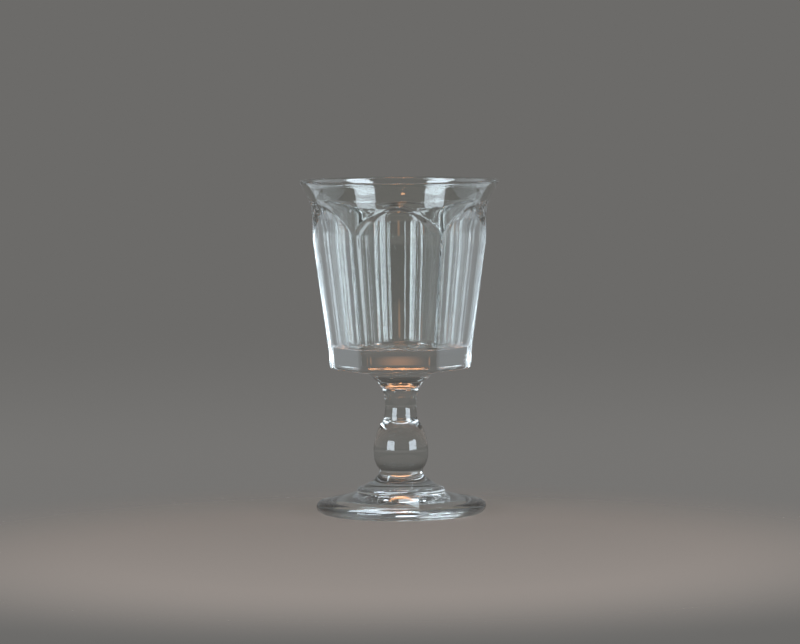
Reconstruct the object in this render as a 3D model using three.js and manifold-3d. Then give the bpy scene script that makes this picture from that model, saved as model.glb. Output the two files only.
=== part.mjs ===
// A pressed-glass goblet: a flared bowl with six arched panels, a ringed collar, a short waisted stem,
// a ball knop and a domed foot, each one gather of glass, seated face to face on the piece below it.
// Millimetres, +Z up. The origin is the centre of the foot's underside, and a panel faces -Y.

import * as THREE from "three";
import { mergeVertices } from "three/addons/utils/BufferGeometryUtils.js";
import Module from "manifold-3d";

const wasm = await Module();
wasm.setup();

// Foot: a thick rounded edge, a sloping skirt, a beaded step, a low mound with a ring under the knop, and
// a hollow underside
const FOOT_DIAMETER = 76.6;
const FOOT_HEIGHT = 19.6;
const FOOT_EDGE_HEIGHT = 5.6;
const FOOT_EDGE_DEPTH = 3.4;
const BEAD_DIAMETER = 39.8;
const BEAD_BASE_HEIGHT = 9.4;
const BEAD_HEIGHT = 2.4;
const BEAD_DEPTH = 2.6;
const SEAT_RING_HEIGHT = 2;
const HOLLOW_DIAMETER = 62;
const HOLLOW_DEPTH = 4.6;

// Knop: an egg that is longer above its widest ring than below it
const KNOP_DIAMETER = 24.8;
const KNOP_HEIGHT = 22.3;
const KNOP_CENTRE_HEIGHT = 7.4;
const KNOP_SEAT_DIAMETER = 19.6;

// Stem: a short neck that tapers to a waist and spreads again under the collar
const STEM_HEIGHT = 14.1;
const STEM_LOWER_DIAMETER = 15.2;
const STEM_WAIST_DIAMETER = 14;
const STEM_WAIST_HEIGHT = 6;
const STEM_UPPER_DIAMETER = 16;

// Collar: rounded rings that widen from the stem to the underside of the bowl
const COLLAR_HEIGHT = 9;
const COLLAR_DIAMETER = 36;
const COLLAR_RINGS = 3;
const COLLAR_COVE = 1.5;
const RING_BULGE = 0.6;

// Bowl: diameters are across the ridges between the panels
const BOWL_HEIGHT = 85;
const BASE_DIAMETER = 63.4;
const BASE_CORNER = 1.7;
const BAND_DIAMETER = 64.4;
const BAND_HEIGHT = 8;
const BODY_DIAMETER = 77.9;
const BODY_HEIGHT = 57.5;
const SHOULDER_DIAMETER = 79.4;
const SHOULDER_BEND = 3.4;
const RIM_DIAMETER = 89;
const LIP_HEIGHT = 10.4;
const LIP_THICKNESS = 2.6;
const LIP_ROUNDING = 1.3;
const MOUTH_BEND = 5;
const FLOOR_THICKNESS = 10;
const FLOOR_CORNER = 3;
const PANEL_COUNT = 6;
const PANEL_WALL = 2.1;
const RIDGE_LAND = 3.4;
const ARCH_HEIGHT = 13;

// How far along and up the lip its bend lies
const LIP_BEND_OUT = 0.68;
const LIP_BEND_UP = 0.52;

// 2 gives a round arch, and less a more pointed top
const ARCH_POINT = 1.4;

// Chords around a turned piece, along each curve of an outline and up an arch
const TURN_STEPS = 48;
const CURVE_STEPS = 5;
const ARCH_STEPS = 10;
const CORNER_STEPS = 4;

// How far the panel cutters overrun the glass that they cut
const CUT_OVERRUN = 4;

const HALF_TURN = Math.PI;
const QUARTER_TURN = Math.PI / 2;

// Where each piece starts above the table
const knopBase = FOOT_HEIGHT;
const stemBase = knopBase + KNOP_HEIGHT;
const collarBase = stemBase + STEM_HEIGHT;
const bowlBase = collarBase + COLLAR_HEIGHT;

// Clear soda glass, seen through and polished by the fire
const glass = new THREE.MeshStandardMaterial({
  color: 0xe6ecea,
  roughness: 0.04,
  metalness: 0,
  transparent: true,
  opacity: 0.35,
});

// A solid of revolution about +Z from an outline that starts and ends on the axis
function turned(path) {
  const points = path.getPoints(CURVE_STEPS);
  return new THREE.LatheGeometry(points, TURN_STEPS).rotateX(QUARTER_TURN);
}

function toSolid(geometry) {
  const bare = geometry.clone();
  bare.deleteAttribute("normal");
  bare.deleteAttribute("uv");
  const merged = mergeVertices(bare, 1e-4);
  return new wasm.Manifold(
    new wasm.Mesh({
      numProp: 3,
      vertProperties: merged.attributes.position.array,
      triVerts: new Uint32Array(merged.index.array),
    }),
  );
}

function toGeometry(solid) {
  const mesh = solid.getMesh();
  const geometry = new THREE.BufferGeometry();
  geometry.setAttribute("position", new THREE.BufferAttribute(mesh.vertProperties, 3));
  geometry.setIndex(new THREE.BufferAttribute(mesh.triVerts, 1));
  geometry.computeVertexNormals();
  return geometry;
}

// The outline's radius at a height, on a list of points that only rises
function radiusAt(points, height) {
  const above = Math.max(1, points.findIndex((point) => point.y >= height));
  const low = points[above - 1];
  const high = points[above];
  return THREE.MathUtils.mapLinear(height, low.y, high.y, low.x, high.x);
}

function makeFoot() {
  const edgeRadius = FOOT_DIAMETER / 2 - FOOT_EDGE_DEPTH;
  const beadRadius = BEAD_DIAMETER / 2;
  const beadTop = BEAD_BASE_HEIGHT + BEAD_HEIGHT;
  const seatRadius = KNOP_SEAT_DIAMETER / 2;
  const skirtBend = (edgeRadius + beadRadius) / 2;
  const skirtBendHeight = (2 * FOOT_EDGE_HEIGHT + BEAD_BASE_HEIGHT) / 3;
  const moundTop = FOOT_HEIGHT - SEAT_RING_HEIGHT;
  const moundBendHeight = (beadTop + moundTop) / 2;
  const path = new THREE.Path();
  path.moveTo(0, HOLLOW_DEPTH);
  path.absellipse(0, 0, HOLLOW_DIAMETER / 2, HOLLOW_DEPTH, QUARTER_TURN, 0, true);
  path.absellipse(
    edgeRadius,
    FOOT_EDGE_HEIGHT / 2,
    FOOT_EDGE_DEPTH,
    FOOT_EDGE_HEIGHT / 2,
    -QUARTER_TURN,
    QUARTER_TURN,
  );
  path.quadraticCurveTo(skirtBend, skirtBendHeight, beadRadius, BEAD_BASE_HEIGHT);
  path.quadraticCurveTo(beadRadius, beadTop, beadRadius - BEAD_DEPTH, beadTop);
  path.quadraticCurveTo(seatRadius + BEAD_DEPTH, moundBendHeight, seatRadius, moundTop);
  path.lineTo(seatRadius, FOOT_HEIGHT);
  path.lineTo(0, FOOT_HEIGHT);
  return turned(path);
}

function makeKnop() {
  const radius = KNOP_DIAMETER / 2;
  const seatRadius = KNOP_SEAT_DIAMETER / 2;
  const neckRadius = STEM_LOWER_DIAMETER / 2;
  const seatAngle = Math.acos(seatRadius / radius);
  const neckAngle = Math.acos(neckRadius / radius);
  const fall = KNOP_CENTRE_HEIGHT / Math.sin(seatAngle);
  const rise = (KNOP_HEIGHT - KNOP_CENTRE_HEIGHT) / Math.sin(neckAngle);
  const path = new THREE.Path();
  path.moveTo(0, 0);
  path.lineTo(seatRadius, 0);
  path.absellipse(0, KNOP_CENTRE_HEIGHT, radius, fall, -seatAngle, 0);
  path.absellipse(0, KNOP_CENTRE_HEIGHT, radius, rise, 0, neckAngle);
  path.lineTo(0, KNOP_HEIGHT);
  return turned(path);
}

function makeStem() {
  const lower = STEM_LOWER_DIAMETER / 2;
  const waist = STEM_WAIST_DIAMETER / 2;
  const upper = STEM_UPPER_DIAMETER / 2;
  const path = new THREE.Path();
  path.moveTo(0, 0);
  path.lineTo(lower, 0);
  path.lineTo(waist, STEM_WAIST_HEIGHT);
  path.quadraticCurveTo(waist, (STEM_WAIST_HEIGHT + STEM_HEIGHT) / 2, upper, STEM_HEIGHT);
  path.lineTo(0, STEM_HEIGHT);
  return turned(path);
}

function makeCollar() {
  const lower = STEM_UPPER_DIAMETER / 2;
  const spread = COLLAR_DIAMETER / 2 - lower;
  const seam = (share) =>
    new THREE.Vector2(lower + spread * share ** COLLAR_COVE, COLLAR_HEIGHT * share);
  const path = new THREE.Path();
  path.moveTo(0, 0);
  path.lineTo(lower, 0);
  for (let ring = 1; ring <= COLLAR_RINGS; ring++) {
    const from = seam((ring - 1) / COLLAR_RINGS);
    const to = seam(ring / COLLAR_RINGS);
    const outward = new THREE.Vector2(to.y - from.y, from.x - to.x).normalize();
    const crown = from.clone().add(to).divideScalar(2).addScaledVector(outward, RING_BULGE);
    path.quadraticCurveTo(crown.x, crown.y, to.x, to.y);
  }
  path.lineTo(0, COLLAR_HEIGHT);
  return turned(path);
}

// Bowl heights above its own base, and the outside before the panels are pressed in
const shoulderHeight = BOWL_HEIGHT - LIP_HEIGHT;
const springHeight = shoulderHeight - ARCH_HEIGHT;
const rimHeight = BOWL_HEIGHT - LIP_ROUNDING;

// The point at a distance from one point towards another, or away from it when the distance is negative
function towards(from, to, distance) {
  return from.clone().lerp(to, distance / from.distanceTo(to));
}

function addOutside(path) {
  const flare = (RIM_DIAMETER - SHOULDER_DIAMETER) / 2;
  const body = new THREE.Vector2(BODY_DIAMETER / 2, BODY_HEIGHT);
  const shoulder = new THREE.Vector2(SHOULDER_DIAMETER / 2, shoulderHeight);
  const lipBend = new THREE.Vector2(flare * LIP_BEND_OUT, LIP_HEIGHT * LIP_BEND_UP).add(shoulder);
  const wallTop = towards(shoulder, body, SHOULDER_BEND);
  const lipStart = towards(shoulder, lipBend, SHOULDER_BEND);
  path.lineTo(BAND_DIAMETER / 2, BAND_HEIGHT);
  path.lineTo(body.x, body.y);
  path.lineTo(wallTop.x, wallTop.y);
  path.quadraticCurveTo(shoulder.x, shoulder.y, lipStart.x, lipStart.y);
  path.quadraticCurveTo(lipBend.x, lipBend.y, RIM_DIAMETER / 2, rimHeight);
}

const outside = new THREE.Path();
outside.moveTo(BASE_DIAMETER / 2, 0);
addOutside(outside);
const outsidePoints = outside.getPoints(CURVE_STEPS);

// A panel's half angle, which leaves half a land to the ridge on each side
function panelHalfAngle(radius) {
  return HALF_TURN / PANEL_COUNT - RIDGE_LAND / 2 / radius;
}

// How far a panel's flat lies from the axis. Above the springing it rolls out, so that it leaves the
// outside along an arch that closes at the shoulder.
function panelDistance(height) {
  const radius = radiusAt(outsidePoints, height);
  if (height <= springHeight) return radius * Math.cos(panelHalfAngle(radius));
  const springRadius = radiusAt(outsidePoints, springHeight);
  const springHalfWidth = springRadius * Math.sin(panelHalfAngle(springRadius));
  const share = Math.min(1, (height - springHeight) / ARCH_HEIGHT);
  const halfWidth = springHalfWidth * Math.sqrt(1 - share ** ARCH_POINT);
  return Math.sqrt(radius ** 2 - halfWidth ** 2);
}

// The blank: the outside, the round rim, the mouth that flares from the bore, and the bore's thick floor
function makeBlank() {
  const base = BASE_DIAMETER / 2;
  const mouth = RIM_DIAMETER / 2 - LIP_THICKNESS;
  const well = panelDistance(FLOOR_THICKNESS) - PANEL_WALL;
  const boreTop = new THREE.Vector2(panelDistance(springHeight) - PANEL_WALL, springHeight);
  const wellTop = new THREE.Vector2(well, FLOOR_THICKNESS + FLOOR_CORNER);
  const mouthBend = towards(boreTop, wellTop, -MOUTH_BEND);
  const path = new THREE.Path();
  path.moveTo(0, 0);
  path.lineTo(base - BASE_CORNER, 0);
  path.absarc(base - BASE_CORNER, BASE_CORNER, BASE_CORNER, -QUARTER_TURN, 0);
  addOutside(path);
  path.absellipse(mouth + LIP_THICKNESS / 2, rimHeight, LIP_THICKNESS / 2, LIP_ROUNDING, 0, HALF_TURN);
  path.quadraticCurveTo(mouthBend.x, mouthBend.y, boreTop.x, boreTop.y);
  path.lineTo(wellTop.x, wellTop.y);
  path.quadraticCurveTo(well, FLOOR_THICKNESS, well - FLOOR_CORNER, FLOOR_THICKNESS);
  path.lineTo(0, FLOOR_THICKNESS);
  return toSolid(turned(path));
}

// The glass that one panel presses away: everything outside its flat, from below the base to the arch
function makePanelCutter() {
  const base = panelDistance(0);
  const reach = RIM_DIAMETER / 2 + CUT_OVERRUN;
  const section = new THREE.Shape();
  section.moveTo(base - BASE_CORNER, -CUT_OVERRUN);
  for (let step = 1; step <= CORNER_STEPS; step++) {
    const angle = -QUARTER_TURN * (1 - step / CORNER_STEPS);
    section.lineTo(
      base - BASE_CORNER + BASE_CORNER * Math.cos(angle),
      BASE_CORNER + BASE_CORNER * Math.sin(angle),
    );
  }
  const heights = [BAND_HEIGHT, BODY_HEIGHT];
  for (let step = 0; step <= ARCH_STEPS; step++) {
    const share = Math.sin((QUARTER_TURN * step) / ARCH_STEPS);
    heights.push(springHeight + ARCH_HEIGHT * share);
  }
  heights.sort((low, high) => low - high);
  for (const height of heights) {
    section.lineTo(panelDistance(height), height);
  }
  section.lineTo(reach, shoulderHeight);
  section.lineTo(reach, -CUT_OVERRUN);
  const width = 2 * reach;
  const geometry = new THREE.ExtrudeGeometry(section, { depth: width, bevelEnabled: false });
  return geometry.translate(0, 0, -width / 2).rotateX(QUARTER_TURN).rotateZ(-QUARTER_TURN);
}

function makeBowl() {
  let solid = makeBlank();
  for (let panel = 0; panel < PANEL_COUNT; panel++) {
    const cutter = makePanelCutter().rotateZ((2 * HALF_TURN * panel) / PANEL_COUNT);
    solid = solid.subtract(toSolid(cutter));
  }
  return toGeometry(solid);
}

function addPiece(group, name, geometry, base) {
  const mesh = new THREE.Mesh(geometry, glass.clone());
  mesh.name = name;
  mesh.position.z = base;
  group.add(mesh);
}

const goblet = new THREE.Group();
addPiece(goblet, "foot", makeFoot(), 0);
addPiece(goblet, "knop", makeKnop(), knopBase);
addPiece(goblet, "stem", makeStem(), stemBase);
addPiece(goblet, "collar", makeCollar(), collarBase);
addPiece(goblet, "bowl", makeBowl(), bowlBase);

export default goblet;
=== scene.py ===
"""A clear pressed-glass goblet on a plain pale floor, laid out as a Blender add-on.

Every piece is turned about the goblet's axis from its own outline. The bowl is turned as a round blank, and
its panels are then pressed in. Metres, +Z up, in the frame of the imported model.
"""

import bisect
import math

import bmesh
import bpy
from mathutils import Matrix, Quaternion, Vector


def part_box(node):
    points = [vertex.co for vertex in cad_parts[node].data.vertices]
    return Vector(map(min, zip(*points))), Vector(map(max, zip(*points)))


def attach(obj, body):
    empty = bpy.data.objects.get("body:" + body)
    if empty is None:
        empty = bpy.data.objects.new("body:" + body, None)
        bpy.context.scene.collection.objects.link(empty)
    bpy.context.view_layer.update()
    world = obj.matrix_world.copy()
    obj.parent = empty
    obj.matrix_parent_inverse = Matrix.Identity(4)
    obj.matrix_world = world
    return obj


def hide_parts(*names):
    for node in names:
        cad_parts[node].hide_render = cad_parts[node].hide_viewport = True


bl_info = {
    "name": "Pressed-Glass Goblet",
    "version": (1, 0, 0),
    "blender": (4, 5, 0),
    "location": "3D View > Sidebar > Goblet",
    "description": "Models a panelled pressed-glass goblet and the plain stage that it stands on",
    "category": "Add Mesh",
}

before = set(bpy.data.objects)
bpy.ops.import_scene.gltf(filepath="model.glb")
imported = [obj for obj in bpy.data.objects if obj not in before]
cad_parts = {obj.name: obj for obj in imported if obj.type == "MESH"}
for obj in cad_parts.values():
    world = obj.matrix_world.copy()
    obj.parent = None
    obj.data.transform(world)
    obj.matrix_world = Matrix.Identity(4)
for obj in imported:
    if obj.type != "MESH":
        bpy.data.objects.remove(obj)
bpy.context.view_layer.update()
MM = 0.001

# Sectors of a turn, chords around a piece and around the finer bowl, and chords along an outline's curves
SECTORS = 12
TURN_STEPS = 240
BOWL_STEPS = 576
CURVE_STEPS = 16
RING_STEPS = 8
ARCH_ROWS = 44
BAND_ROWS = 4
WALL_ROWS = 16
LIP_ROWS = 14

# Points closer than this are one point, and edges sharper than this stay crisp
MERGE_DISTANCE = 0.001 * MM
CRISP_ANGLE = math.radians(40)


def extent(node, axis):
    """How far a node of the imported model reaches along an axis."""
    low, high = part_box(node)
    return high[axis] - low[axis]


def base_of(node):
    """The height of a node's underside."""
    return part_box(node)[0][2]


def linear(hex_colour):
    """An sRGB hex colour as linear red, green, blue and alpha."""
    channels = [int(hex_colour[start:start + 2], 16) / 255 for start in (1, 3, 5)]
    return [c / 12.92 if c <= 0.04045 else ((c + 0.055) / 1.055) ** 2.4 for c in channels] + [1.0]


def length(name, description, default):
    """A length that a user may change, in metres."""
    return bpy.props.FloatProperty(
        name=name, description=description, default=default, subtype="DISTANCE", unit="LENGTH", precision=5
    )


def colour(name, description, hex_colour):
    """A colour that a user may change."""
    return bpy.props.FloatVectorProperty(
        name=name, description=description, default=linear(hex_colour), subtype="COLOR", size=4, min=0, max=1
    )


class GobletFootSizes(bpy.types.PropertyGroup):
    """Sizes of the foot"""

    diameter: length("Foot diameter", "Across the foot's rounded edge", extent("foot", 0))
    height: length("Foot height", "From the table to the knop", extent("foot", 2))
    edge_height: length("Edge height", "Height of the rounded edge", 5.6 * MM)
    edge_depth: length("Edge depth", "How far the edge rounds in from the side", 3.4 * MM)
    seat_ring: length("Seat ring", "Height of the plain ring under the knop", 2 * MM)
    bead_diameter: length("Bead diameter", "Across the beaded step at the mound's foot", 39.8 * MM)
    bead_base: length("Bead base", "Height at which the skirt meets the bead", 9.4 * MM)
    bead_height: length("Bead height", "Height of the bead above the skirt", 2.4 * MM)
    bead_depth: length("Bead depth", "From the bead's side in to the mound", 2.6 * MM)
    hollow_diameter: length("Hollow diameter", "Across the hollow underside", 62 * MM)
    hollow_depth: length("Hollow depth", "Depth of the hollow underside", 4.6 * MM)


class GobletStemSizes(bpy.types.PropertyGroup):
    """Sizes of the knop, the stem and the collar"""

    knop_diameter: length("Knop diameter", "Across the ball", extent("knop", 0))
    knop_height: length("Knop height", "From the foot to the stem", extent("knop", 2))
    knop_centre: length("Knop centre", "Height of the ball's widest ring above the foot", 7.4 * MM)
    knop_seat: length("Knop seat", "Across the joint with the foot", 19.6 * MM)
    stem_height: length("Stem height", "From the knop to the collar", extent("stem", 2))
    stem_lower: length("Stem lower end", "Across the joint with the knop", 15.2 * MM)
    stem_waist: length("Stem waist", "Across the narrowest part of the stem", 14 * MM)
    waist_height: length("Waist height", "Height of the waist above the knop", 6 * MM)
    stem_upper: length("Stem upper end", "Across the joint with the collar", extent("stem", 0))
    collar_height: length("Collar height", "From the stem to the bowl", extent("collar", 2))
    collar_diameter: length("Collar diameter", "Across the joint with the bowl", extent("collar", 0))
    ring_bulge: length("Ring bulge", "How far each ring of the collar bends outwards", 0.6 * MM)
    rings: bpy.props.IntProperty(name="Rings", description="Rings on the collar", default=3, min=1)
    cove: bpy.props.FloatProperty(name="Cove", description="How hollow the collar's cone is", default=1.5)


class GobletBowlSizes(bpy.types.PropertyGroup):
    """Sizes of the bowl, across the ridges between its panels"""

    height: length("Bowl height", "From the collar to the rim", extent("bowl", 2))
    rim: length("Rim diameter", "Across the mouth", extent("bowl", 0))
    base: length("Base diameter", "Across the ridges at the base", 63.4 * MM)
    base_corner: length("Base corner", "Rounding of the base's edge", 1.7 * MM)
    band: length("Band diameter", "Across the ridges at the top of the band above the base", 64.4 * MM)
    band_height: length("Band height", "Height of the nearly upright band above the base", 8 * MM)
    body: length("Body diameter", "Across the ridges at the top of the sloping wall", 77.9 * MM)
    body_height: length("Body height", "Height of the top of the sloping wall", 57.5 * MM)
    shoulder: length("Shoulder diameter", "Across the bowl where the lip starts to flare", 79.4 * MM)
    shoulder_bend: length("Shoulder bend", "How softly the wall turns out into the lip", 3.4 * MM)
    lip_height: length("Lip height", "From the shoulder to the rim", 10.4 * MM)
    lip_thickness: length("Lip thickness", "Wall at the rim", 2.6 * MM)
    lip_rounding: length("Lip rounding", "Height of the rounded top of the rim", 1.3 * MM)
    mouth_bend: length("Mouth bend", "How far above the arches' springing the mouth bends outwards", 5 * MM)
    floor: length("Floor thickness", "Solid glass under the bore", 10 * MM)
    floor_corner: length("Floor corner", "Rounding between the bore and its floor", 3 * MM)
    panel_wall: length("Panel wall", "Glass between a panel's middle and the bore", 2.1 * MM)
    ridge_land: length("Ridge land", "Width left between two panels", 3.4 * MM)
    ridge_softness: length("Ridge softness", "How softly a panel's edge is fire-polished", 0.6 * MM)
    arch_height: length("Arch height", "From the springing of an arch to its top", 13 * MM)
    arch_step: length("Arch step", "Height of the step that ends a panel along its arch", 1.5 * MM)
    arch_bevel: length("Arch bevel", "Width of that step", 2.1 * MM)
    arch_point: bpy.props.FloatProperty(
        name="Arch point",
        description="2 for a round arch, and less for one with a more pointed top",
        default=1.4,
    )
    step_point: bpy.props.FloatProperty(
        name="Step point",
        description="2 for a step with a round top, and less for a pointed one",
        default=1.7,
    )
    panels: bpy.props.IntProperty(name="Panels", description="Panels around the bowl", default=6, min=3)
    lip_bend_out: bpy.props.FloatProperty(
        name="Lip bend out", description="Share of the flare at which the lip bends", default=0.68
    )
    lip_bend_up: bpy.props.FloatProperty(
        name="Lip bend up", description="Share of the lip's height at which it bends", default=0.52
    )


class GobletColours(bpy.types.PropertyGroup):
    """Colours of the glass and the stage"""

    glass: colour("Glass", "Tint of the clear glass", "#F6F8F6")
    floor: colour("Floor", "Pale floor", "#C9B3A4")
    backdrop: colour("Backdrop", "Soft grey backdrop", "#6C6B69")
    window: colour("Window light", "Colour of the windows, the pale walls and the skylights", "#E4F3FF")
    warm_lamp: colour("Warm lamp", "Colour of the small warm lamps and the glow behind the base", "#FFB27A")


def arc(centre, radii, start, stop, steps=CURVE_STEPS):
    """Points on an ellipse in the plane of radius and height, from one angle to another."""
    angles = [start + (stop - start) * step / steps for step in range(steps + 1)]
    return [(centre[0] + radii[0] * math.cos(a), centre[1] + radii[1] * math.sin(a)) for a in angles]


def bend(start, corner, stop, steps=CURVE_STEPS):
    """Points on a curve that leaves start towards corner and reaches stop from it."""
    points = []
    for step in range(steps + 1):
        t = step / steps
        weights = ((1 - t) ** 2, 2 * t * (1 - t), t ** 2)
        points.append(tuple(sum(w * p[i] for w, p in zip(weights, (start, corner, stop))) for i in (0, 1)))
    return points


def straight(start, stop, steps):
    """Evenly spaced points on a line."""
    return bend(start, ((start[0] + stop[0]) / 2, (start[1] + stop[1]) / 2), stop, steps)


def between(start, stop, distance):
    """The point at a distance from start towards stop, or away from it where the distance is negative."""
    share = distance / math.dist(start, stop)
    return tuple(a + (b - a) * share for a, b in zip(start, stop))


def turn(outline, steps):
    """A bmesh turned about +Z from an outline of radius and height that starts and ends on the axis.

    One sector is spun from the outline, and its copies close the turn, which is quicker than one long spin.
    """
    mesh = bmesh.new()
    points = [mesh.verts.new((radius, 0, height)) for radius, height in outline]
    edges = [mesh.edges.new(pair) for pair in zip(points, points[1:])]
    sector = 2 * math.pi / SECTORS
    about = {"axis": (0, 0, 1), "cent": (0, 0, 0)}
    bmesh.ops.spin(mesh, geom=points + edges, angle=sector, steps=steps // SECTORS, **about)
    whole = mesh.verts[:] + mesh.edges[:] + mesh.faces[:]
    rest = SECTORS - 1
    bmesh.ops.spin(mesh, geom=whole, angle=sector * rest, steps=rest, use_duplicate=True, **about)
    bmesh.ops.remove_doubles(mesh, verts=mesh.verts, dist=MERGE_DISTANCE)
    bmesh.ops.recalc_face_normals(mesh, faces=mesh.faces)
    return mesh


def add_node(tree, kind, inputs=None, **settings):
    """Adds a node with its settings, and sets or links its inputs."""
    node = tree.nodes.new(kind)
    for name, value in settings.items():
        setattr(node, name, value)
    for name, value in (inputs or {}).items():
        if isinstance(value, bpy.types.NodeSocket):
            tree.links.new(value, node.inputs[name])
        else:
            node.inputs[name].default_value = value
    return node


def empty_tree(owner):
    """The node tree of a material, a lamp or the backdrop, with nothing in it yet."""
    owner.use_nodes = True
    owner.node_tree.nodes.clear()
    return owner.node_tree


# Soda glass, pressed in an iron mould and fire-polished, so that it is clear, bright and faintly rippled. The
# ripple is drawn out along the height, and only the ring that the goblet stands on is scratched dull.
GLASS = "Fire-polished pressed glass"
GLASS_IOR = 1.52
GLASS_SHADOW = "#F1F2F1"
RING_WEAR = 0.22
WEAR_HEIGHT = 0.7 * MM
SCRATCH_WIDTH = 0.35 * MM
SCRATCH_DETAIL = 3.0
RIPPLE_WIDTH = 11 * MM
RIPPLE_LENGTH = 60 * MM
RIPPLE_DEPTH = 0.006 * MM
RIPPLE_DETAIL = 1.0


def glass_material():
    """Clear glass whose mirror-smooth skin has the faint ripple of the mould, worn where it stands."""
    if GLASS in bpy.data.materials:
        return bpy.data.materials[GLASS]
    material = bpy.data.materials.new(GLASS)
    tree = empty_tree(material)
    colours = bpy.context.scene.goblet_colours
    place = add_node(tree, "ShaderNodeTexCoord").outputs["Object"]
    height = add_node(tree, "ShaderNodeSeparateXYZ", {"Vector": place}).outputs["Z"]
    drawn = add_node(
        tree, "ShaderNodeMapping", {"Vector": place, "Scale": (1, 1, RIPPLE_WIDTH / RIPPLE_LENGTH)}
    )
    ripple = add_node(
        tree,
        "ShaderNodeTexNoise",
        {"Vector": drawn.outputs["Vector"], "Scale": 1 / RIPPLE_WIDTH, "Detail": RIPPLE_DETAIL},
    )
    skin = add_node(
        tree, "ShaderNodeBump", {"Height": ripple.outputs["Fac"], "Distance": RIPPLE_DEPTH, "Strength": 1.0}
    )
    scratches = add_node(
        tree,
        "ShaderNodeTexNoise",
        {"Vector": place, "Scale": 1 / SCRATCH_WIDTH, "Detail": SCRATCH_DETAIL},
    )
    ring = add_node(
        tree,
        "ShaderNodeMapRange",
        {"Value": height, "From Min": 0.0, "From Max": WEAR_HEIGHT, "To Min": RING_WEAR, "To Max": 0.0},
    )
    wear = add_node(
        tree, "ShaderNodeMath", {0: ring.outputs["Result"], 1: scratches.outputs["Fac"]}, operation="MULTIPLY"
    )
    glass = add_node(
        tree,
        "ShaderNodeBsdfPrincipled",
        {
            "Base Color": list(colours.glass),
            "Transmission Weight": 1.0,
            "IOR": GLASS_IOR,
            "Roughness": wear.outputs[0],
            "Normal": skin.outputs["Normal"],
        },
    )
    shade = add_node(tree, "ShaderNodeBsdfTransparent", {"Color": linear(GLASS_SHADOW)})
    path = add_node(tree, "ShaderNodeLightPath")
    mix = add_node(
        tree,
        "ShaderNodeMixShader",
        {0: path.outputs["Is Shadow Ray"], 1: glass.outputs["BSDF"], 2: shade.outputs["BSDF"]},
    )
    add_node(tree, "ShaderNodeOutputMaterial", {"Surface": mix.outputs["Shader"]})
    return material


# The inside of a hot joint, where two gathers have become one piece of glass and no surface is left
JOINT = "Fused glass joint"


def joint_material():
    """A joint that light passes straight through, because the glass on both sides of it is one."""
    if JOINT in bpy.data.materials:
        return bpy.data.materials[JOINT]
    material = bpy.data.materials.new(JOINT)
    tree = empty_tree(material)
    clear = add_node(tree, "ShaderNodeBsdfPrincipled", {"Alpha": 0.0})
    add_node(tree, "ShaderNodeOutputMaterial", {"Surface": clear.outputs["BSDF"]})
    return material


def finish_piece(mesh, name, node, joints):
    """Makes a bmesh an object that stands for a node.

    Each joint is a height and a radius, and the faces of its disc are fused.
    """
    for face in mesh.faces:
        face.smooth = True
        for height, radius in joints:
            level = all(abs(vert.co.z - height) < MERGE_DISTANCE for vert in face.verts)
            if level and face.calc_center_median().xy.length < radius:
                face.material_index = 1
    data = bpy.data.meshes.new(name)
    mesh.to_mesh(data)
    mesh.free()
    data.materials.append(glass_material())
    data.materials.append(joint_material())
    data.set_sharp_from_angle(angle=CRISP_ANGLE)
    piece = bpy.data.objects.new(name, data)
    bpy.context.scene.collection.objects.link(piece)
    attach(piece, "root")
    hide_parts(node)
    return piece


def lifted(outline, base):
    """An outline raised to where its piece starts."""
    return [(radius, height + base) for radius, height in outline]


class GOBLET_OT_foot(bpy.types.Operator):
    """Model the foot: rounded edge, sloping skirt, beaded step, low mound and hollow underside"""

    bl_idname = "goblet.foot"
    bl_label = "Foot"

    def execute(self, context):
        foot = context.scene.goblet_foot
        seat = context.scene.goblet_stem.knop_seat / 2
        edge = foot.diameter / 2 - foot.edge_depth
        bead, bead_top = foot.bead_diameter / 2, foot.bead_base + foot.bead_height
        skirt_end = (bead, foot.bead_base)
        skirt_bend = ((edge + bead) / 2, (2 * foot.edge_height + foot.bead_base) / 3)
        mound_start = (bead - foot.bead_depth, bead_top)
        mound_top = (seat, foot.height - foot.seat_ring)
        mound_bend = (seat + foot.bead_depth, (bead_top + mound_top[1]) / 2)
        hollow = (foot.hollow_diameter / 2, foot.hollow_depth)
        rounding = (foot.edge_depth, foot.edge_height / 2)
        outline = arc((0, 0), hollow, math.pi / 2, 0)
        outline += arc((edge, foot.edge_height / 2), rounding, -math.pi / 2, math.pi / 2)
        outline += bend((edge, foot.edge_height), skirt_bend, skirt_end)
        outline += bend(skirt_end, (bead, bead_top), mound_start)
        outline += bend(mound_start, mound_bend, mound_top)
        outline += [(seat, foot.height), (0, foot.height)]
        finish_piece(turn(outline, TURN_STEPS), "glass_foot", "foot", [(foot.height, seat)])
        return {"FINISHED"}


class GOBLET_OT_knop(bpy.types.Operator):
    """Model the knop: a ball that draws in to the stem"""

    bl_idname = "goblet.knop"
    bl_label = "Knop"

    def execute(self, context):
        sizes = context.scene.goblet_stem
        base = base_of("knop")
        radius, seat, neck = sizes.knop_diameter / 2, sizes.knop_seat / 2, sizes.stem_lower / 2
        seat_angle, neck_angle = math.acos(seat / radius), math.acos(neck / radius)
        fall = sizes.knop_centre / math.sin(seat_angle)
        rise = (sizes.knop_height - sizes.knop_centre) / math.sin(neck_angle)
        middle = (0, sizes.knop_centre)
        outline = [(0, 0)]
        outline += arc(middle, (radius, fall), -seat_angle, 0)
        outline += arc(middle, (radius, rise), 0, neck_angle, 2 * CURVE_STEPS)
        outline += [(0, sizes.knop_height)]
        mesh = turn(lifted(outline, base), TURN_STEPS)
        finish_piece(mesh, "glass_knop", "knop", [(base, seat), (base + sizes.knop_height, neck)])
        return {"FINISHED"}


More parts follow.
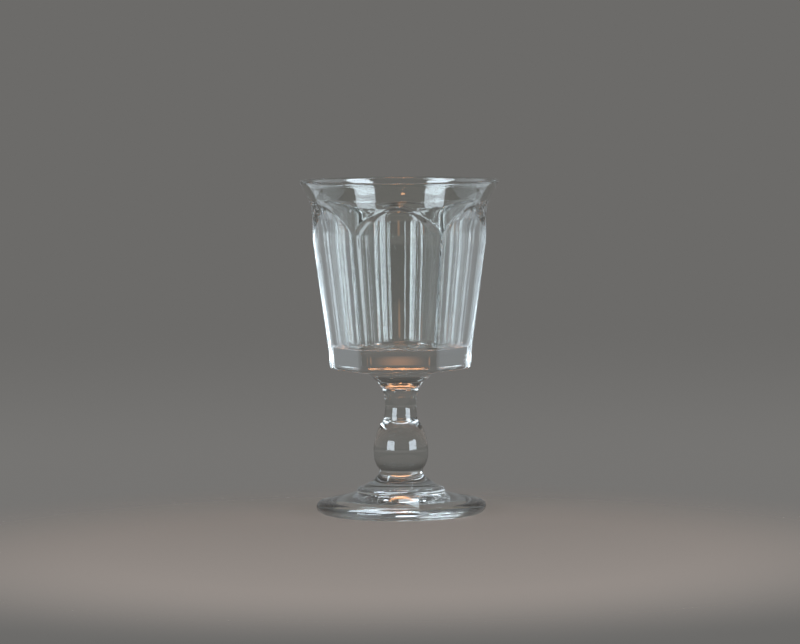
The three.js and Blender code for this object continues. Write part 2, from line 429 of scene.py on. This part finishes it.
class GOBLET_OT_stem(bpy.types.Operator):
    """Model the stem: a short waisted neck"""

    bl_idname = "goblet.stem"
    bl_label = "Stem"

    def execute(self, context):
        sizes = context.scene.goblet_stem
        base = base_of("stem")
        lower, waist, upper = sizes.stem_lower / 2, sizes.stem_waist / 2, sizes.stem_upper / 2
        middle = (waist, sizes.waist_height)
        outline = [(0, 0)]
        outline += straight((lower, 0), middle, CURVE_STEPS)
        flare_bend = (waist, (sizes.waist_height + sizes.stem_height) / 2)
        outline += bend(middle, flare_bend, (upper, sizes.stem_height))
        outline += [(0, sizes.stem_height)]
        mesh = turn(lifted(outline, base), TURN_STEPS)
        finish_piece(mesh, "glass_stem", "stem", [(base, lower), (base + sizes.stem_height, upper)])
        return {"FINISHED"}


class GOBLET_OT_collar(bpy.types.Operator):
    """Model the collar: rounded rings that widen from the stem to the bowl"""

    bl_idname = "goblet.collar"
    bl_label = "Collar"

    def execute(self, context):
        sizes = context.scene.goblet_stem
        base = base_of("collar")
        lower, upper = sizes.stem_upper / 2, sizes.collar_diameter / 2
        seams = []
        for ring in range(sizes.rings + 1):
            share = ring / sizes.rings
            radius = lower + (upper - lower) * share ** sizes.cove
            seams.append(Vector((radius, sizes.collar_height * share)))
        outline = [(0, 0)]
        for below, above in zip(seams, seams[1:]):
            rise = above - below
            outward = Vector((rise.y, -rise.x)).normalized()
            crown = (below + above) / 2 + outward * sizes.ring_bulge
            outline += bend(below, crown, above, RING_STEPS)
        outline += [(0, sizes.collar_height)]
        mesh = turn(lifted(outline, base), TURN_STEPS)
        finish_piece(mesh, "glass_collar", "collar", [(base, lower), (base + sizes.collar_height, upper)])
        return {"FINISHED"}


def soft_least(first, second, softness):
    """The lesser of two lengths, with the corner between them rounded."""
    overlap = max(softness - abs(first - second), 0) / softness
    return min(first, second) - overlap ** 2 * softness / 4


def smooth(share):
    """A share from 0 to 1 that starts and ends softly."""
    return share * share * (3 - 2 * share)


# The share of an arch's height over which its step deepens from nothing
STEP_START = 0.5


class Blank:
    """The bowl's outside before its panels are pressed in, and the panels' own flats."""

    def __init__(self, sizes):
        self.sizes = sizes
        self.shoulder_height = sizes.height - sizes.lip_height
        self.spring_height = self.shoulder_height - sizes.arch_height
        self.rim_height = sizes.height - sizes.lip_rounding
        base, band, body, shoulder = sizes.base / 2, sizes.band / 2, sizes.body / 2, sizes.shoulder / 2
        flare = sizes.rim / 2 - shoulder
        lip_bend = (
            shoulder + flare * sizes.lip_bend_out,
            self.shoulder_height + sizes.lip_height * sizes.lip_bend_up,
        )
        corner = (shoulder, self.shoulder_height)
        wall_top = between(corner, (body, sizes.body_height), sizes.shoulder_bend)
        lip_start = between(corner, lip_bend, sizes.shoulder_bend)
        self.wall = straight((base, 0), (band, sizes.band_height), BAND_ROWS)
        self.wall += straight((band, sizes.band_height), (body, sizes.body_height), WALL_ROWS)
        self.wall += straight((body, sizes.body_height), wall_top, ARCH_ROWS)
        self.wall += bend(wall_top, corner, lip_start, LIP_ROWS)
        self.wall += bend(lip_start, lip_bend, (sizes.rim / 2, self.rim_height), LIP_ROWS)
        self.heights = [height for radius, height in self.wall]
        spring = self.radius(self.spring_height)
        self.half_width = spring * math.sin(self.half_angle(spring))

    def radius(self, height):
        """The blank's radius at a height above the bowl's base."""
        above = min(max(bisect.bisect_left(self.heights, height), 1), len(self.wall) - 1)
        (low_radius, low), (high_radius, high) = self.wall[above - 1], self.wall[above]
        if high == low:
            return low_radius
        return low_radius + (high_radius - low_radius) * (height - low) / (high - low)

    def half_angle(self, radius):
        """Half the angle that a panel spans, less half a land on each side."""
        return math.pi / self.sizes.panels - self.sizes.ridge_land / 2 / radius

    def flat(self, height):
        """A panel's distance from the axis, which rolls out to meet the outside along an arch."""
        radius = self.radius(height)
        corner = self.sizes.base_corner
        if height <= self.spring_height:
            flat = radius * math.cos(self.half_angle(radius))
            drop = max(corner - height, 0)
            return flat - corner + math.sqrt(max(corner ** 2 - drop ** 2, 0))
        share = (height - self.spring_height) / self.sizes.arch_height
        return math.sqrt(radius ** 2 - self.half_width ** 2 * (1 - share ** self.sizes.arch_point))

    def step(self, height, aside):
        """How much deeper than its flat a panel lies inside its arch, at a distance to the side."""
        sizes = self.sizes
        share = (height - self.spring_height) / sizes.arch_height
        if not 0 < share < 1:
            return 0
        inwards = self.half_width * (1 - share ** sizes.arch_point) ** (1 / sizes.step_point) - aside
        if inwards <= 0:
            return 0
        top = (1 - (aside / self.half_width) ** sizes.step_point) ** (1 / sizes.arch_point)
        below = (top - share) * sizes.arch_height
        depth = min(inwards * below / math.hypot(inwards, below) / sizes.arch_bevel, 1)
        start = min(share / STEP_START, 1)
        return sizes.arch_step * start * smooth(depth)


class GOBLET_OT_bowl(bpy.types.Operator):
    """Model the bowl: a turned blank with a flared lip, a smooth bore and panels pressed into its outside"""

    bl_idname = "goblet.bowl"
    bl_label = "Bowl"

    def execute(self, context):
        sizes = context.scene.goblet_bowl
        base = base_of("bowl")
        joint = context.scene.goblet_stem.collar_diameter / 2
        blank = Blank(sizes)
        mesh = turn(lifted(self.outline(sizes, blank, joint), base), BOWL_STEPS)
        self.press(mesh, sizes, blank, base)
        finish_piece(mesh, "glass_bowl", "bowl", [(base, joint)])
        return {"FINISHED"}

    def outline(self, sizes, blank, joint):
        """The outside, the round rim, the flared mouth, the bore and its floor."""
        corner, half_lip = sizes.base_corner, sizes.lip_thickness / 2
        mouth = sizes.rim / 2 - sizes.lip_thickness
        well = blank.flat(sizes.floor) - sizes.panel_wall
        bore_top = (blank.flat(blank.spring_height) - sizes.panel_wall, blank.spring_height)
        floor_top = (well, sizes.floor + sizes.floor_corner)
        mouth_bend = between(bore_top, floor_top, -sizes.mouth_bend)
        floor_edge = (well - sizes.floor_corner, sizes.floor)
        points = [(0, 0), (joint, 0)]
        points += arc((sizes.base / 2 - corner, corner), (corner, corner), -math.pi / 2, 0, RING_STEPS)
        points += [point for point in blank.wall if point[1] > corner]
        rounding = (half_lip, sizes.lip_rounding)
        points += arc((mouth + half_lip, blank.rim_height), rounding, 0, math.pi, CURVE_STEPS)
        points += bend((mouth, blank.rim_height), mouth_bend, bore_top, 2 * CURVE_STEPS)
        points += straight(bore_top, floor_top, RING_STEPS)
        points += bend(floor_top, (well, sizes.floor), floor_edge, RING_STEPS)
        points += [(0, sizes.floor)]
        return points

    def press(self, mesh, sizes, blank, base):
        """Presses the panels in: what stands outside a flat is drawn in to it."""
        pitch = 2 * math.pi / sizes.panels
        softness = sizes.ridge_softness
        flats = {}
        for vert in mesh.verts:
            radius = vert.co.xy.length
            if radius < MERGE_DISTANCE:
                continue
            height = max(vert.co.z - base, 0)
            if height not in flats:
                flats[height] = blank.flat(height)
            turned = math.atan2(vert.co.y, vert.co.x) + math.pi / 2
            aside = (turned + pitch / 2) % pitch - pitch / 2
            pressed = soft_least(radius, flats[height] / math.cos(aside), softness)
            if pressed < radius:
                pressed -= blank.step(height, abs(radius * math.sin(aside)))
            vert.co.xy *= pressed / radius


# The stage, in metres and degrees. The camera looks from the front, a little to the right and from above.
CAMERA_DISTANCE = 1.8
CAMERA_HEIGHT = 0.213
AIM_HEIGHT = 0.086
CAMERA_ROLL = -0.4
CAMERA_BEARING = 1.5
CAMERA_LENS = 180.5
LIGHT_BOUNCES = 32

# Smooth matt card, which takes the light softly, and the distance over which it fades into the backdrop
FLOOR = "Matt pale card"
CARD_ROUGHNESS = 0.9
FLOOR_RADIUS = 0.7
FLOOR_STEPS = 96
FLOOR_MIDDLE = (0, -0.14, 0)
FLOOR_FADE_START = 0.12
FLOOR_FADE_END = 0.27

# The pieces that a lamp lights. A lamp is seen in these and in nothing else.
FOOT = ("glass_foot",)
KNOP = ("glass_knop",)
BOWL = ("glass_bowl",)
BOWL_AND_FLOOR = BOWL + ("floor",)
STAND = ("glass_foot", "glass_knop", "glass_stem", "glass_collar")
WHOLE = STAND + BOWL

# Upright windows around the goblet, at bearings from the front that are above 0 to the right. A sill is
# a height, and a glow is a radiance. In order: the windows in the lip, those in the knop and the stem, high
# ones for the arches, a strip for a ridge on the left, a faint wall behind the foot, and pale walls beside
# the bowl.
WINDOW_DISTANCE = 1.2
WINDOWS = (
    {"bearings": (-43, 54), "width": 0.62, "sill": 0.08, "height": 0.5, "glow": 14, "pieces": BOWL_AND_FLOOR},
    {"bearings": (-43, 55), "width": 0.72, "sill": 0.08, "height": 0.36, "glow": 11.5, "pieces": STAND},
    {"bearings": (-60, 60), "width": 0.72, "sill": 0.58, "height": 1.37, "glow": 9.5, "pieces": BOWL},
    {"bearings": (-65.5,), "width": 0.05, "sill": -0.34, "height": 0.24, "glow": 5.5, "pieces": BOWL},
    {"bearings": (180,), "width": 2.4, "sill": 0, "height": 1.6, "glow": 0.09, "pieces": FOOT},
    {"bearings": (-103, 103), "width": 1.55, "sill": -0.5, "height": 1.5, "glow": 1, "pieces": BOWL},
)

# The share of a window's glow that is left after more than one turn inside the glass, and where it is seen
# straight through both walls of the bowl
ZIGZAG_LIGHT = 0.22
SEEN_THROUGH = 0.55

# Limits between whole counts: of the surfaces passed, 2 in one wall and 4 in both, and of the turns made
ONE_WALL = 2.5
NO_TURN = 0.5
ONE_TURN = 1.5

# Lamps that hang overhead and face the goblet, and a soft warm glow behind the bowl's base
SKYLIGHTS = (
    {"place": (-0.3, -0.2, 0.85), "size": (0.95, 0.85), "glow": 13, "pieces": FOOT},
    {"place": (-0.2, 0.35, 0.8), "size": (0.7, 0.8), "glow": 2.5, "pieces": KNOP},
)
WARM_LAMPS = (
    {"place": (-0.05, -0.5, 1.0), "size": (0.07, 0.07), "glow": 24, "pieces": WHOLE},
    {"place": (0, -0.12, 1.0), "size": (0.3, 0.3), "glow": 5, "pieces": WHOLE},
)
WARM_GLOW = {"place": (-0.0105, 0.4, 0.0585), "size": (0.034, 0.024), "glow": 0.2, "pieces": BOWL}

# How the backdrop's light changes with its direction from the goblet: an axis, where along it a change starts
# and ends, and the share of the light at its end. It is darker overhead and on the front side, a little paler
# low down, and plain again further down.
BACKDROP_SHADES = (
    ("Z", 0.12, 0.5, 0.5),
    ("Y", 0.5, -0.5, 0.4),
    ("Z", -0.07, -0.105, 1.2),
    ("Z", -0.12, -0.15, 0.83),
)


def floor_material(colour):
    """Smooth matt card that fades into the backdrop, so that the floor has no edge."""
    material = bpy.data.materials.new(FLOOR)
    tree = empty_tree(material)
    place = add_node(tree, "ShaderNodeTexCoord").outputs["Object"]
    away = add_node(tree, "ShaderNodeVectorMath", {0: place, 1: FLOOR_MIDDLE}, operation="DISTANCE")
    fade = add_node(
        tree,
        "ShaderNodeMapRange",
        {"Value": away.outputs["Value"], "From Min": FLOOR_FADE_START, "From Max": FLOOR_FADE_END},
        interpolation_type="SMOOTHSTEP",
    )
    card = add_node(tree, "ShaderNodeBsdfPrincipled", {"Base Color": colour, "Roughness": CARD_ROUGHNESS})
    clear = add_node(tree, "ShaderNodeBsdfTransparent")
    mix = add_node(
        tree,
        "ShaderNodeMixShader",
        {0: fade.outputs["Result"], 1: card.outputs["BSDF"], 2: clear.outputs["BSDF"]},
    )
    add_node(tree, "ShaderNodeOutputMaterial", {"Surface": mix.outputs["Shader"]})
    return material


class GOBLET_OT_stage(bpy.types.Operator):
    """Set the stage: camera, plain pale floor, grey backdrop, soft windows and small warm lamps"""

    bl_idname = "goblet.stage"
    bl_label = "Stage"

    def execute(self, context):
        scene = context.scene
        colours = scene.goblet_colours
        self.add_camera(scene)
        self.add_floor(scene, list(colours.floor))
        self.add_backdrop(scene, list(colours.backdrop))
        daylight, warm = list(colours.window)[:3], list(colours.warm_lamp)[:3]
        for plan in WINDOWS:
            for bearing in plan["bearings"]:
                self.add_window(scene, math.radians(bearing), plan, daylight)
        for plan in SKYLIGHTS:
            self.add_lamp(scene, "skylight", plan, daylight)
        for plan in WARM_LAMPS:
            self.add_lamp(scene, "warm_lamp", plan, warm)
        glow = self.add_lamp(scene, "warm_glow", WARM_GLOW, warm)
        self.soften_edge(glow, WARM_GLOW)
        scene.view_settings.view_transform = "Standard"
        scene.cycles.max_bounces = LIGHT_BOUNCES
        scene.cycles.transmission_bounces = LIGHT_BOUNCES
        scene.cycles.glossy_bounces = LIGHT_BOUNCES
        scene.cycles.transparent_max_bounces = LIGHT_BOUNCES
        scene.cycles.caustics_reflective = False
        scene.cycles.caustics_refractive = False
        return {"FINISHED"}

    def add_camera(self, scene):
        """A long lens, far enough away that the goblet's lines stay straight."""
        camera = bpy.data.objects.new("camera", bpy.data.cameras.new("camera"))
        camera.data.lens = CAMERA_LENS
        bearing = math.radians(CAMERA_BEARING)
        camera.location = (
            CAMERA_DISTANCE * math.sin(bearing),
            -CAMERA_DISTANCE * math.cos(bearing),
            CAMERA_HEIGHT,
        )
        aim = Vector((0, 0, AIM_HEIGHT)) - camera.location
        roll = Quaternion((0, 0, 1), math.radians(CAMERA_ROLL))
        camera.rotation_mode = "QUATERNION"
        camera.rotation_quaternion = aim.to_track_quat("-Z", "Y") @ roll
        scene.collection.objects.link(camera)
        scene.camera = camera

    def add_floor(self, scene, colour):
        """A round of card under the goblet."""
        mesh = bmesh.new()
        bmesh.ops.create_circle(mesh, cap_ends=True, radius=FLOOR_RADIUS, segments=FLOOR_STEPS)
        data = bpy.data.meshes.new("floor")
        mesh.to_mesh(data)
        mesh.free()
        data.materials.append(floor_material(colour))
        floor = bpy.data.objects.new("floor", data)
        scene.collection.objects.link(floor)

    def add_backdrop(self, scene, colour):
        """A plain grey surround, with its light shaded by direction."""
        world = bpy.data.worlds.new("backdrop")
        tree = empty_tree(world)
        place = add_node(tree, "ShaderNodeTexCoord").outputs["Generated"]
        towards = add_node(tree, "ShaderNodeSeparateXYZ", {"Vector": place}).outputs
        light = 1.0
        for axis, start, stop, share in BACKDROP_SHADES:
            fade = add_node(
                tree,
                "ShaderNodeMapRange",
                {"Value": towards[axis], "From Min": start, "From Max": stop, "To Min": 1.0, "To Max": share},
                interpolation_type="SMOOTHSTEP",
            )
            product = add_node(
                tree, "ShaderNodeMath", {0: fade.outputs["Result"], 1: light}, operation="MULTIPLY"
            )
            light = product.outputs[0]
        grey = add_node(tree, "ShaderNodeBackground", {"Color": colour, "Strength": light})
        add_node(tree, "ShaderNodeOutputWorld", {"Surface": grey.outputs["Background"]})
        scene.world = world

    def add_window(self, scene, bearing, plan, colour):
        """An upright lamp at a bearing, facing the goblet's axis."""
        away = Vector((math.sin(bearing), -math.cos(bearing), 0))
        place = away * WINDOW_DISTANCE + Vector((0, 0, plan["sill"] + plan["height"] / 2))
        size = (plan["width"], plan["height"])
        lamp = self.hang(scene, "window", place, -away, size, plan["glow"], colour, plan["pieces"])
        self.soften_glare(lamp)

    def soften_glare(self, lamp):
        """Dims a lamp that is seen straight through both walls, or by zigzags inside a thick one."""
        tree = empty_tree(lamp)
        path = add_node(tree, "ShaderNodeLightPath")
        surfaces, turns = path.outputs["Transmission Depth"], path.outputs["Glossy Depth"]
        both_walls = add_node(tree, "ShaderNodeMath", {0: surfaces, 1: ONE_WALL}, operation="GREATER_THAN")
        unturned = add_node(tree, "ShaderNodeMath", {0: turns, 1: NO_TURN}, operation="LESS_THAN")
        through = add_node(
            tree, "ShaderNodeMath", {0: both_walls.outputs[0], 1: unturned.outputs[0]}, operation="MULTIPLY"
        )
        zigzag = add_node(tree, "ShaderNodeMath", {0: turns, 1: ONE_TURN}, operation="GREATER_THAN")
        dimmed = add_node(
            tree, "ShaderNodeMapRange", {"Value": zigzag.outputs[0], "To Min": 1.0, "To Max": ZIGZAG_LIGHT}
        )
        share = add_node(
            tree,
            "ShaderNodeMapRange",
            {"Value": through.outputs[0], "To Min": dimmed.outputs["Result"], "To Max": SEEN_THROUGH},
        )
        glow = add_node(tree, "ShaderNodeEmission", {"Strength": share.outputs["Result"]})
        add_node(tree, "ShaderNodeOutputLight", {"Surface": glow.outputs["Emission"]})

    def add_lamp(self, scene, name, plan, colour):
        """A lamp at a place of its own, facing the goblet."""
        place = Vector(plan["place"])
        aim = Vector((0, 0, AIM_HEIGHT)) - place
        return self.hang(scene, name, place, aim, plan["size"], plan["glow"], colour, plan["pieces"])

    def soften_edge(self, lamp, plan):
        """Fades a lamp's glow from its middle to its edge."""
        tree = empty_tree(lamp)
        place = add_node(tree, "ShaderNodeNewGeometry").outputs["Position"]
        away = add_node(tree, "ShaderNodeVectorMath", {0: place, 1: plan["place"]}, operation="DISTANCE")
        fade = add_node(
            tree,
            "ShaderNodeMapRange",
            {"Value": away.outputs["Value"], "From Max": max(plan["size"]) / 2, "To Min": 1.0, "To Max": 0.0},
            interpolation_type="SMOOTHSTEP",
        )
        glow = add_node(tree, "ShaderNodeEmission", {"Strength": fade.outputs["Result"]})
        add_node(tree, "ShaderNodeOutputLight", {"Surface": glow.outputs["Emission"]})

    def hang(self, scene, name, place, aim, size, glow, colour, pieces):
        """An evenly glowing area lamp out of the camera's sight, which lights only the pieces named."""
        lamp = bpy.data.lights.new(name, "AREA")
        lamp.shape = "RECTANGLE"
        lamp.size, lamp.size_y = size
        lamp.energy = glow * math.pi * size[0] * size[1]
        lamp.color = colour
        hung = bpy.data.objects.new(name, lamp)
        hung.location = place
        hung.rotation_mode = "QUATERNION"
        hung.rotation_quaternion = aim.to_track_quat("-Z", "Y")
        hung.visible_camera = False
        scene.collection.objects.link(hung)
        lit = bpy.data.collections.new("lit_by_" + hung.name)
        for piece in pieces:
            lit.objects.link(bpy.data.objects[piece])
        hung.light_linking.receiver_collection = lit
        return lamp


OPERATORS = (
    GOBLET_OT_foot,
    GOBLET_OT_knop,
    GOBLET_OT_stem,
    GOBLET_OT_collar,
    GOBLET_OT_bowl,
    GOBLET_OT_stage,
)


class GOBLET_PT_panel(bpy.types.Panel):
    """Lists the goblet's pieces and the stage in the sidebar"""

    bl_idname = "GOBLET_PT_panel"
    bl_label = "Goblet"
    bl_space_type = "VIEW_3D"
    bl_region_type = "UI"
    bl_category = "Goblet"

    def draw(self, context):
        for operator in OPERATORS:
            self.layout.operator(operator.bl_idname)


GROUPS = {
    "goblet_foot": GobletFootSizes,
    "goblet_stem": GobletStemSizes,
    "goblet_bowl": GobletBowlSizes,
    "goblet_colours": GobletColours,
}


def register():
    for name, group in GROUPS.items():
        bpy.utils.register_class(group)
        setattr(bpy.types.Scene, name, bpy.props.PointerProperty(type=group))
    for operator in OPERATORS:
        bpy.utils.register_class(operator)
    bpy.utils.register_class(GOBLET_PT_panel)


def unregister():
    bpy.utils.unregister_class(GOBLET_PT_panel)
    for operator in reversed(OPERATORS):
        bpy.utils.unregister_class(operator)
    for name, group in reversed(GROUPS.items()):
        delattr(bpy.types.Scene, name)
        bpy.utils.unregister_class(group)


def main():
    register()
    bpy.ops.goblet.foot()
    bpy.ops.goblet.knop()
    bpy.ops.goblet.stem()
    bpy.ops.goblet.collar()
    bpy.ops.goblet.bowl()
    bpy.ops.goblet.stage()


if __name__ == "__main__":
    main()
